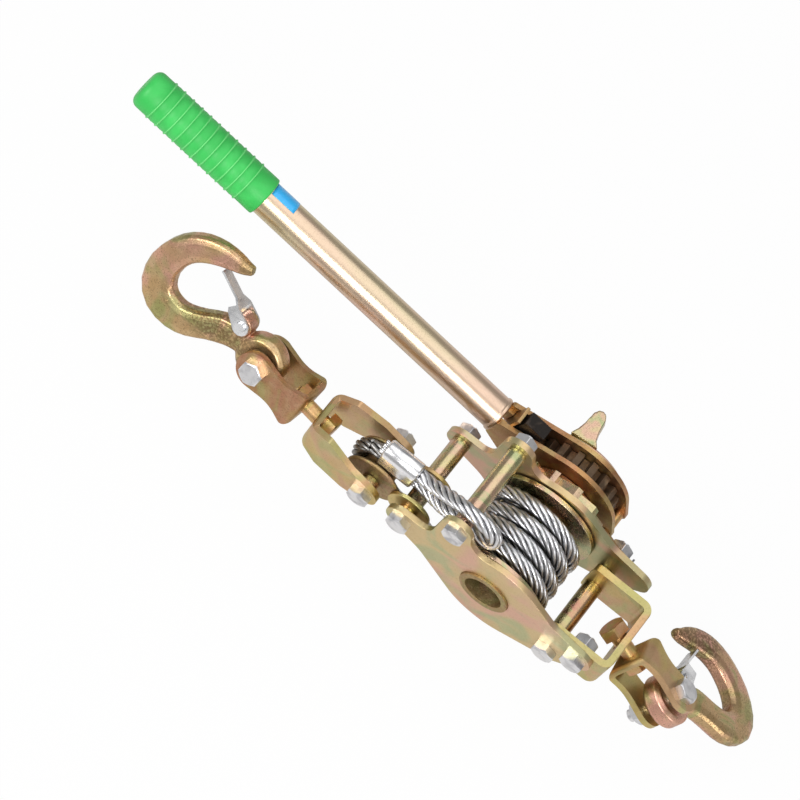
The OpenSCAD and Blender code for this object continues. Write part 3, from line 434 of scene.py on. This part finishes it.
def new_piece(name, points, faces, finish, body, replaced=()):
    """A smooth mesh as a piece, tied to the body if it has one."""
    mesh = bpy.data.meshes.new(name)
    mesh.from_pydata([tuple(p) for p in points], [], faces)
    mesh.validate()
    mesh.polygons.foreach_set("use_smooth", [True] * len(mesh.polygons))
    mesh.materials.append(finish)
    piece = put(name, mesh)
    if body:
        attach(piece, body)
    if replaced:
        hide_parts(*replaced)
    return piece


def mark(piece, name, values):
    """Stores a number at each point, for the finish to read by that name."""
    attribute = piece.data.attributes.new(name, "FLOAT", "POINT")
    attribute.data.foreach_set("value", values)


def distances(points):
    """Distance along a line at each of its points."""
    steps = np.linalg.norm(np.diff(points, axis=0), axis=1)
    return np.concatenate([[0], np.cumsum(steps)])


def carried(path, side):
    """Two cross directions along a path, carried along it from side without twist."""
    ahead = np.vstack([path[1:], path[-1:]]) - np.vstack([path[:1], path[:-1]])
    along = ahead / np.linalg.norm(ahead, axis=1)[:, None]
    sides = np.zeros_like(path)
    now = np.array(side, float)
    for i, heading in enumerate(along):
        now = now - (now @ heading) * heading
        now = now / np.linalg.norm(now)
        sides[i] = now
    return sides, np.cross(along, sides)


def resampled(points, step):
    """The same line with points an even step apart."""
    p = np.array(points, float)
    s = distances(p)
    even = np.linspace(0, s[-1], max(4, int(round(s[-1] / step))) + 1)
    return np.column_stack([np.interp(even, s, p[:, k]) for k in range(3)])


def smooth_route(points, steps):
    """Smooth curve through the points of a route."""
    p = [np.array(q, float) for q in points]
    p = [2 * p[0] - p[1], *p, 2 * p[-1] - p[-2]]
    out = []
    for a, b, c, d in zip(p, p[1:], p[2:], p[3:]):
        square, cube = 2 * a - 5 * b + 4 * c - d, 3 * b - a - 3 * c + d
        for j in range(steps):
            t = j / steps
            out.append(0.5 * (2 * b + (c - a) * t + square * t**2 + cube * t**3))
    out.append(p[-2])
    return np.array(out)


def walls(rings, around, first=0, closed=False):
    """Faces between rings of points, and from the last ring to the first where it is closed."""
    faces = []
    for i in range(rings if closed else rings - 1):
        here, there = first + i * around, first + (i + 1) % rings * around
        for j in range(around):
            k = (j + 1) % around
            faces.append((here + j, here + k, there + k, there + j))
    return faces


def capped(rings, around, first=0):
    """Walls and flat ends of a tube of rings."""
    last = first + (rings - 1) * around
    start_cap = tuple(range(first + around - 1, first - 1, -1))
    end_cap = tuple(range(last, last + around))
    return [*walls(rings, around, first), start_cap, end_cap]


def plain_wires(paths, radius, around):
    """One mesh of plain round wires along several paths."""
    points, faces = [], []
    for path in paths:
        path = np.array(path, float)
        u, v = carried(path, (0.3, 0.5, 1.0))
        faces += capped(len(path), around, len(points))
        for i in range(len(path)):
            for j in range(around):
                a = 2 * math.pi * j / around
                points.append((path[i] + radius * (math.cos(a) * u[i] + math.sin(a) * v[i])) * MM)
    return points, faces


# ---------- wire rope ----------

# Strands in the rope and wires in a strand, with the length in which they go once round.
STRANDS, STRAND_LAY = 6, 44.0
WIRES, WIRE_LAY = 8, 19.0
# Radius of a wire's crest and of the valley beside it, as shares of the strand's radius, and
# how much deeper the valley counts for shade.
CREST, VALLEY = 1.0, 0.80
VALLEY_SHADE = 0.1
# Core strand: its sides, its radius as a share of a strand's, and how high it counts for shade.
CORE_SIDES, CORE_SHARE, CORE_HEIGHT = 8, 1.15, 0.3


def stranded(name, route, radius, finish, body, replaced, step=1.2, side=(0, 0, 1)):
    """Wire rope: strands of twisted wires laid round a core strand."""
    path = resampled(route, step)
    s = distances(path)
    u, v = carried(path, side)
    strand_r = radius / 3
    off = radius - strand_r
    around = WIRES * 2
    points, heights, faces = [], [], []
    for k in range(STRANDS):
        turn = 2 * math.pi * (s / STRAND_LAY + k / STRANDS)
        centre = path + off * (np.cos(turn)[:, None] * u + np.sin(turn)[:, None] * v)
        su, sv = carried(centre, tuple(u[0]))
        rolled = -2 * math.pi * s / WIRE_LAY
        rings = np.zeros((len(path), around, 3))
        for j in range(around):
            a = 2 * math.pi * j / around + rolled
            r = strand_r * (CREST if j % 2 == 0 else VALLEY)
            rings[:, j] = centre + r * (np.cos(a)[:, None] * su + np.sin(a)[:, None] * sv)
        # Height of each point off the rope's axis, which the wire finish turns into painted shade
        # in the hollows.
        height = np.linalg.norm(rings - path[:, None], axis=2) / radius
        height[:, 1::2] -= VALLEY_SHADE
        faces += capped(len(path), around, len(points) * len(path) * around)
        points.append(rings.reshape(-1, 3))
        heights.append(height.reshape(-1))
    turns = [2 * math.pi * j / CORE_SIDES for j in range(CORE_SIDES)]
    spokes = np.stack([math.cos(a) * u + math.sin(a) * v for a in turns], axis=1)
    core = path[:, None] + strand_r * CORE_SHARE * spokes
    faces += capped(len(path), CORE_SIDES, sum(len(p) for p in points))
    points.append(core.reshape(-1, 3))
    heights.append(np.full(len(path) * CORE_SIDES, CORE_HEIGHT))
    piece = new_piece(name, np.vstack(points) * MM, faces, finish, body, replaced)
    mark(piece, "height", np.concatenate(heights).astype(np.float32))
    return piece


ROPE_R = 4.65
# Middle of the sheave, and the radius of the rope's bend round it.
BLOCK_X, BLOCK_Y = -93.0, -13.5
SHEAVE_ROPE_R = 15.8
# Ends of the ferrule, and the heights of the rope that goes on to the sheave and of the cut one.
FERRULE_X0, FERRULE_X1 = -98.0, -73.0
LIVE_Z, DEAD_Z = 20.4, 29.8
# The eye's rope starts just off the ferrule and follows its route from a little further on.
EYE_GAP, EYE_RUN = 0.3, 1.8

# Outer layer on the drum: radius of its turns, pitch, number of turns and start along the drum.
WIND_R, WIND_PITCH, WIND_TURNS = 30.0, 10.2, 4
WIND_Y0 = -WIND_PITCH * WIND_TURNS / 2
# The layer under it, of a thinner rope, which takes the darker wire finish as painted shade.
CORE_R, CORE_ROPE_R = 21.15, 4.05
CORE_Y0, CORE_PITCH, CORE_TURNS, CORE_RUN = -21.4, 8.56, 5, 0.5
# The end turns lean outwards by LEAN, and all turns stray a little along and off the drum.
LEAN, STRAY = 2.4, 0.5
TURN_STEPS = 96

EYE_ROUTE = [
    (FERRULE_X1 + EYE_RUN, BLOCK_Y, DEAD_Z),
    (-67, -13.9, 30.6), (-61, -15.5, 34.5), (-52, -18.5, 44), (-43.5, -21.5, 52.8),
    (-36, -23, 56.2), (-27, -23.4, 56.4), (-19, -23.4, 53), (-15, -23.4, 47),
    (-16, -23.3, 40.8), (-21.5, -23, 36.2), (-29, -22.5, 33.6), (-37, -21.5, 32.8),
    (-45, -20, 29.2), (-53, -17.5, 24), (-61, -15, 21),
    (FERRULE_X1 + EYE_RUN, BLOCK_Y, LIVE_Z),
]
TOP_ROUTE = [
    (FERRULE_X0 - 0.4, BLOCK_Y, LIVE_Z), (FERRULE_X0 - 1.4, BLOCK_Y, LIVE_Z),
    (FERRULE_X0 - 3.2, BLOCK_Y, LIVE_Z - 0.3), (FERRULE_X0 - 5.2, BLOCK_Y, LIVE_Z - 1.2),
    (FERRULE_X0 - 6.2, BLOCK_Y, LIVE_Z - 1.8),
]
SHEAVE_TURNS = [math.radians(a) for a in range(185, 261, 15)]
BEND_ROUTE = [
    (FERRULE_X0 - 6.6, BLOCK_Y, LIVE_Z - 2.04), (FERRULE_X0 - 7.6, BLOCK_Y, LIVE_Z - 2.64),
    (FERRULE_X0 - 10, BLOCK_Y, LIVE_Z - 5.2), (FERRULE_X0 - 11.8, BLOCK_Y, LIVE_Z - 10),
    (BLOCK_X - SHEAVE_ROPE_R - 0.8, BLOCK_Y, 4.6),
    *[
        (BLOCK_X + SHEAVE_ROPE_R * math.cos(a), BLOCK_Y, SHEAVE_ROPE_R * math.sin(a))
        for a in SHEAVE_TURNS
    ],
    (BLOCK_X - 0.3, BLOCK_Y, -SHEAVE_ROPE_R),
]
LIVE_ROUTE = [
    (BLOCK_X, BLOCK_Y, -SHEAVE_ROPE_R), (-80, -13.9, -16.8), (-62, -15.3, -20.2),
    (-43, -17.4, -24.4), (-26, -19.4, -28.4), (-15, WIND_Y0 + 0.2, -WIND_R),
    (-2 * ROPE_R - 0.3, WIND_Y0, -WIND_R),
]


def helix(radius, y0, pitch, turns, run):
    """Turns of rope round the drum, with a straight run of that length at each end."""

    def at(share):
        a = 2 * math.pi * turns * share - math.pi / 2
        from_end = min(share, 1 - share) * turns
        loose = math.sin(math.pi / 2 * min(1.0, 2 * from_end)) ** 2
        spread = -LEAN * math.cos(math.pi * share) ** 5 + STRAY * math.sin(1.5 * a)
        r = radius + STRAY * loose * math.sin(2.3 * a + 1)
        return (r * math.cos(a), y0 + pitch * turns * share + spread * loose, r * math.sin(a))

    count = TURN_STEPS * turns
    points = [at(i / count) for i in range(count + 1)]
    first, last = points[0], points[-1]
    return [(first[0] - run, first[1], first[2]), *points, (last[0] + run, last[1], last[2])]


def make_rope():
    outer = helix(WIND_R, WIND_Y0, WIND_PITCH, WIND_TURNS, run=2 * ROPE_R)
    stranded("wound_rope", outer, ROPE_R, WIRE, "drum", ["rope_winding"])
    # The under layer takes the darker wire finish as painted shade.
    under = helix(CORE_R, CORE_Y0, CORE_PITCH, CORE_TURNS, run=CORE_RUN)
    stranded("under_rope", under, CORE_ROPE_R, SHADED_WIRE, "drum", ["rope_core"], step=2.4)
    eye_ends = [[(FERRULE_X1 + EYE_GAP, BLOCK_Y, z)] for z in (DEAD_Z, LIVE_Z)]
    eye = np.vstack([eye_ends[0], smooth_route(EYE_ROUTE, 12), eye_ends[1]])
    stranded("eye_rope", eye, ROPE_R, WIRE, "frame", ["rope_eye"])
    # The rope round the sheave takes the darker wire finish as painted shade.
    bend = smooth_route(BEND_ROUTE, 10)
    stranded("block_rope", bend, ROPE_R, SHADED_WIRE, "rope_block", ["rope_bend"], side=(0, 1, 0))


def make_legs():
    """The two legs between the frame and the block, baked in place and tied to no body."""
    top = smooth_route(TOP_ROUTE, 10)
    # The top leg takes the darker wire finish as painted shade.
    top_leg = stranded("top_leg_rope", top, ROPE_R, SHADED_WIRE, None, ["rope_top_leg"], step=0.15)
    live = smooth_route(LIVE_ROUTE, 12)
    live_leg = stranded("live_leg_rope", live, ROPE_R, WIRE, None, ["rope_live_leg"], step=0.8)
    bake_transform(top_leg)
    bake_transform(live_leg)


make_rope()
make_legs()

# ---------- ferrule ----------

LOBE_R = 6.8
OVAL_SIDES = 72
# The flanks are pinched in between the two ropes: how deep, and the height over which it fades.
PINCH, PINCH_H = 0.45, 3.2
# Two seam ridges run along the near flank: their heights on it, how far they stand out and
# the distance over which they fall away.
SEAMS_Z = (2.6, -2.4)
SEAM, SEAM_W = 0.5, 0.9
# Rounded mouth, inwards from an end: distance along the sleeve and drop in radius.
MOUTH = [(0, 1.6), (0.25, 0.9), (0.7, 0.35), (1.4, 0.0)]


def oval_ring(x, drop):
    """Cross section of the pressed sleeve: two lobes, one above the other, round the two ropes."""
    half = (DEAD_Z - LIVE_Z) / 2
    lobe = LOBE_R - drop
    flank = 0.5 * lobe
    ring = []
    for j in range(OVAL_SIDES):
        a = 2 * math.pi * j / OVAL_SIDES
        y, z = lobe * math.sin(a), lobe * math.cos(a)
        z += half if z > 0 else -half
        pinch = PINCH * math.exp(-((z / PINCH_H) ** 2))
        y -= math.copysign(pinch, y) if abs(y) > flank else 0
        from_seam = min(abs(z - seam_z) for seam_z in SEAMS_Z)
        seam = SEAM * max(0.0, 1 - from_seam / SEAM_W) if y < -flank else 0
        ring.append((x, BLOCK_Y + y - seam, (LIVE_Z + DEAD_Z) / 2 + z))
    return ring


def make_ferrule():
    length = FERRULE_X1 - FERRULE_X0
    stations = [*MOUTH, *[(length - x, drop) for x, drop in reversed(MOUTH)]]
    points = [Vector(p) * MM for x, drop in stations for p in oval_ring(FERRULE_X0 + x, drop)]
    faces = capped(len(stations), OVAL_SIDES)
    new_piece("pressed_ferrule", points, faces, SLEEVE, "frame", ["ferrule"])


# Cut strand: radius of each ring of wires and the wires in it.
CUT_RINGS = ((0.0, 1), (1.3, 6), (2.6, 12), (3.9, 18))
CUT_WIRE_R = 0.52
# A wire starts CUT_DEPTH inside the sleeve and stands out by CUT_SHORT, or up to CUT_EXTRA more.
CUT_DEPTH, CUT_SHORT, CUT_EXTRA = 1.0, 1.0, 1.5
SPLAY, KINK = 0.35, 0.2


def make_cut_wires():
    """Ends of the cut strand, standing out of the ferrule's upper lobe."""
    rng = np.random.default_rng(7)
    paths = []
    for ring, count in CUT_RINGS:
        for k in range(count):
            a = 2 * math.pi * k / count + ring
            y, z = BLOCK_Y + ring * math.cos(a), DEAD_Z + ring * math.sin(a)
            out = CUT_SHORT + rng.uniform(0, CUT_EXTRA)
            splay = rng.uniform(0.0, SPLAY)
            kink_y, kink_z = rng.uniform(-KINK, KINK), rng.uniform(-KINK, KINK)
            root = (FERRULE_X0 + CUT_DEPTH, y, z)
            middle = (FERRULE_X0 - out * 0.5, y + splay * math.cos(a) * 0.5, z)
            tip_y, tip_z = y + splay * math.cos(a) + kink_y, z + splay * math.sin(a) + kink_z
            paths.append([root, middle, (FERRULE_X0 - out, tip_y, tip_z)])
    points, faces = plain_wires(paths, CUT_WIRE_R, 6)
    new_piece("cut_rope_end", points, faces, SHEET, "frame")


make_ferrule()
make_cut_wires()

# ---------- handle ----------

HANDLE_Y = 57.0
HANDLE_TURN = math.radians(10)
OUTWARDS = Vector((-math.cos(HANDLE_TURN), 0, math.sin(HANDLE_TURN)))
ACROSS = Vector((math.sin(HANDLE_TURN), 0, math.cos(HANDLE_TURN)))
SIDEWAYS = Vector((0, 1, 0))
TUBE_R = 11.1
BORE_R = TUBE_R + 0.1
GRIP_START, GRIP_END = 250.0, 346.85
GRIP_R, GRIP_SIDES = 13.0, 96
# Ribs: height, width, number and steps over one. The rubber between two of them rises by BULGE.
RIB, RIB_WIDTH, RIBS, RIB_STEPS = 0.8, 2.0, 11, 8
BULGE = 0.25
# Plain lengths at the mouth and at the end, and the end's rounding.
COLLAR, NOSE, NOSE_R = 14.0, 13.5, 5.0
COLLAR_R = GRIP_R + 0.1
END_WALL = 3.5
# Radius at which the end faces close on the axis.
CLOSED_R = 0.3


def on_handle(along):
    """Point on the handle's axis, that far out from the drum's."""
    return SIDEWAYS * HANDLE_Y + OUTWARDS * along


def grip_profile():
    """Rubber sleeve, from inside its end round to its nose: (distance from the mouth, radius)."""
    length = GRIP_END - GRIP_START
    pitch = (length - COLLAR - NOSE) / (RIBS - 1)
    inner_end = length - END_WALL
    profile = [
        (inner_end, CLOSED_R), (inner_end, TUBE_R - 1), (inner_end - 0.4, BORE_R), (6.0, BORE_R),
        (0.0, BORE_R), (0.0, TUBE_R + 0.9), (0.15, GRIP_R - 0.5),
        (0.4, GRIP_R - 0.15), (1.0, COLLAR_R), (5.0, COLLAR_R),
    ]
    for i in range(RIBS):
        start = COLLAR + i * pitch
        for j in range(RIB_STEPS + 1):
            t = j / RIB_STEPS
            height = RIB * math.sin(math.pi * t) ** 1.5
            profile.append((start + RIB_WIDTH * (t - 0.5), GRIP_R + height))
        if i < RIBS - 1:
            profile.append((start + pitch / 2, GRIP_R + BULGE))
    for degrees in range(0, 91, 10):
        a = math.radians(degrees)
        along = length - NOSE_R + NOSE_R * math.sin(a)
        profile.append((along, GRIP_R - NOSE_R + NOSE_R * math.cos(a)))
    return [*profile, (length, 4.0), (length, CLOSED_R)]


def make_grip():
    profile = grip_profile()
    points = []
    for z, r in profile:
        for j in range(GRIP_SIDES):
            a = 2 * math.pi * j / GRIP_SIDES
            side = SIDEWAYS * math.cos(a) + OUTWARDS.cross(SIDEWAYS) * math.sin(a)
            points.append((on_handle(GRIP_START) + OUTWARDS * z + side * r) * MM)
    faces = walls(len(profile), GRIP_SIDES, closed=True)
    piece = new_piece(
        "ribbed_grip", points, faces, GREEN_RUBBER, "handle", ["grip"]
    )
    # Rib height at each point, which the finish turns into a paler ridge colour: partly wear,
    # partly painted highlight.
    ridges = [max(0.0, (r - GRIP_R - BULGE) / RIB) for _, r in profile]
    mark(piece, "ridge", np.repeat(ridges, GRIP_SIDES).astype(np.float32))


LABEL_START, LABEL_LENGTH = GRIP_START - 17.8, 17.5
# Turns of the label's two edges from the top, in degrees, and its faces' heights over the tube.
LABEL_TURN_0, LABEL_TURN_1 = -3, 80
LABEL_LAYERS = (0.06, 0.2)
LABEL_ROWS, LABEL_COLS = 8, 24


def make_label():
    """Small film label bent round the tube beside the grip."""
    rows, cols = LABEL_ROWS, LABEL_COLS
    points, faces = [], []
    for layer in LABEL_LAYERS:
        for i in range(rows + 1):
            for j in range(cols + 1):
                a = math.radians(LABEL_TURN_0 + (LABEL_TURN_1 - LABEL_TURN_0) * j / cols)
                out = ACROSS * math.cos(a) + SIDEWAYS * math.sin(a)
                at = on_handle(LABEL_START + LABEL_LENGTH * i / rows)
                points.append((at + out * (TUBE_R + layer)) * MM)
    width = cols + 1
    layer_size = (rows + 1) * width
    for i in range(rows):
        for j in range(cols):
            a = i * width + j
            quad = (a, a + 1, a + width + 1, a + width)
            faces.append(tuple(reversed(quad)))
            faces.append(tuple(layer_size + q for q in quad))
    rim = [
        *range(width),
        *(i * width + cols for i in range(1, rows + 1)),
        *(rows * width + j for j in range(cols - 1, -1, -1)),
        *(i * width for i in range(rows - 1, 0, -1)),
    ]
    for a, b in zip(rim, rim[1:] + rim[:1]):
        faces.append((a, b, layer_size + b, layer_size + a))
    new_piece("plain_label", points, faces, LABEL, "handle")


make_grip()
make_label()

# ---------- forgings and small parts ----------


def forged(name, node, finish, voxel, passes):
    """A CAD solid's form with the soft corners and junctions of a forging."""
    piece = put(name, cad[node].data.copy())
    weld(piece)
    skin = piece.modifiers.new("skin", "REMESH")
    skin.mode, skin.voxel_size = "VOXEL", voxel * MM
    soft = piece.modifiers.new("soft", "SMOOTH")
    soft.factor, soft.iterations = 0.5, passes
    bpy.context.view_layer.update()
    evaluated = piece.evaluated_get(bpy.context.evaluated_depsgraph_get())
    shaped = bpy.data.meshes.new_from_object(evaluated)
    piece.modifiers.clear()
    piece.data = shaped
    shaped.name = name
    shaped.polygons.foreach_set("use_smooth", [True] * len(shaped.polygons))
    shaped.materials.clear()
    shaped.materials.append(finish)
    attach(piece, cad[node]["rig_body"])
    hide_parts(node)


LEG_X, LEG_Z = 59.6, -5
LEG_YS = (34.3, 40, 45.2)
LEG_R = 0.7


def make_spring_leg():
    """Straight leg of the holding pawl's spring."""
    points, faces = plain_wires([[(LEG_X, y, LEG_Z) for y in LEG_YS]], LEG_R, 12)
    new_piece(
        "pawl_spring_leg", points, faces, SILVER, "frame", ["holding_pawl_spring"]
    )


forged("load_hook", "rope_hook", FORGED, voxel=0.6, passes=3)
forged("frame_hook", "anchor_hook", FORGED, voxel=0.6, passes=3)
forged("turning_lug", "finger_lug", TURNED, voxel=0.5, passes=8)
make_spring_leg()

# ---------- room and light ----------

WHITE = (1.0, 1.0, 1.0)
FLOOR_HALF, FLOOR_GAP = 6.0, 0.5 * MM
FLOOR_COLOUR = (0.62, 0.61, 0.60)
# Shares of plain white in what the camera and what bright metal see of the floor.
SEEN_WHITE, MIRRORED_WHITE = 0.97, 0.2
SKY_COLOUR, SKY_STRENGTH = (1.0, 0.99, 0.97), 0.35
# Height of the dark card as a share of its width.
CARD_HEIGHT = 0.4


def staged(name, corners, finish):
    """A flat sheet that belongs to the room."""
    sheet = bpy.data.meshes.new(name)
    sheet.from_pydata([tuple(c) for c in corners], [], [(0, 1, 2, 3)])
    sheet.materials.append(finish)
    put(name, sheet)


def make_floor():
    low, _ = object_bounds()
    z = low.z - FLOOR_GAP
    f = Finish("pale_floor", kind="MixShader")
    seen = f.add("LightPath", out="Is Camera Ray") * SEEN_WHITE
    mirrored = f.add("LightPath", out="Is Glossy Ray") * MIRRORED_WHITE
    f.feed(0, seen + mirrored)
    f.feed(1, f.add("BsdfDiffuse", sockets={"Color": FLOOR_COLOUR}))
    f.feed(2, f.add("Emission", sockets={"Color": WHITE, "Strength": 1.0}))
    square = ((-1, -1), (1, -1), (1, 1), (-1, 1))
    staged("floor", [(x * FLOOR_HALF, y * FLOOR_HALF, z) for x, y in square], f.material)


def make_world():
    """Soft light from all round, which the camera sees as plain white."""
    world = bpy.data.worlds.new("studio")
    bpy.context.scene.world = world
    sky = Nodes(world)
    soft = sky.add("Background", sockets={"Color": SKY_COLOUR, "Strength": SKY_STRENGTH})
    white = sky.add("Background", sockets={"Color": WHITE, "Strength": 1.0})
    camera_ray = sky.add("LightPath", out="Is Camera Ray")
    mixed = sky.add("MixShader", sockets={0: camera_ray, 1: soft, 2: white})
    sky.add("OutputWorld", sockets={"Surface": mixed})


def from_target(right, up, back):
    """Metres from the target along the picture's right, its up and the way to the camera."""
    return PICTURE_RIGHT * right + PICTURE_UP * up + TO_CAMERA * back


def softbox(name, right, up, back, size, power):
    """Square lamp that shines at the target."""
    data = bpy.data.lights.new(name, "AREA")
    data.shape, data.size, data.energy = "SQUARE", size, power
    away = from_target(right, up, back)
    aim(put(name, data), TARGET + away, away.normalized())


def dark_card(right, up, back, size):
    """Black card beside the part, that bright metal mirrors as a dark edge."""
    away = from_target(right, up, back)
    side = away.normalized().cross(TO_CAMERA).normalized()
    card_shape = ((-1, -CARD_HEIGHT), (1, -CARD_HEIGHT), (1, CARD_HEIGHT), (-1, CARD_HEIGHT))
    corners = [TARGET + away + (side * i + TO_CAMERA * j) * size / 2 for i, j in card_shape]
    black = Finish("dark_card", kind="BsdfDiffuse", Color=(0.02, 0.02, 0.02))
    staged("dark_card", corners, black.material)


make_floor()
make_world()
softbox("key", right=-0.8, up=0.3, back=1.0, size=0.7, power=10)
softbox("front", right=0.02, up=-0.47, back=1.0, size=0.45, power=6)
softbox("fill", right=0.6, up=0.65, back=1.0, size=1.5, power=7.5)
softbox("low", right=0.9, up=-1.1, back=0.5, size=0.5, power=3)
dark_card(right=-1.0, up=-0.7, back=0.25, size=0.9)

bpy.context.scene.view_settings.view_transform = "Standard"
